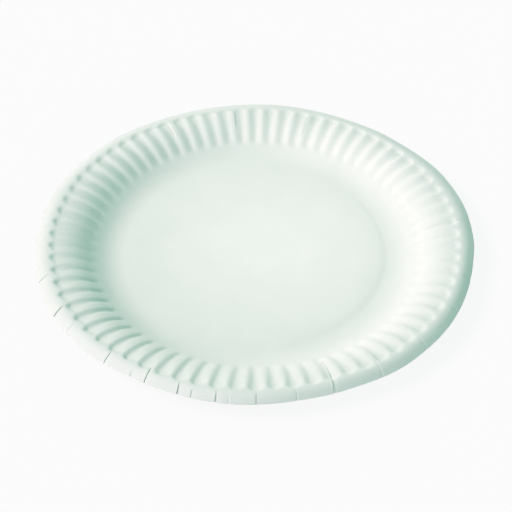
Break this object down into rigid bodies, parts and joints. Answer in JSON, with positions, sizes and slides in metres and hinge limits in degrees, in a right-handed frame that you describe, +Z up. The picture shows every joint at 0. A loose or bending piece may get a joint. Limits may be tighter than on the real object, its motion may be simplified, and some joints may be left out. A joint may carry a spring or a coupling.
{
  "type": "paper plate",
  "caption": "Round disposable paper plate with a flat centre, a fluted sloping wall and a turned-down lip, pressed in one piece.",
  "frame": {"origin": "on the plate's axis, in the plane that the foot ring stands on", "axes": "+Z up along the plate's axis; +X and +Y in the standing plane, with the middle of one flute's groove on +X"},
  "size_m": [0.23, 0.23, 0.0125],
  "materials": {
    "board": "matt uncoated white paperboard with a faint cool green tint"
  },
  "bodies": {
    "root": {"plate": "board"}
  },
  "joints": []
}
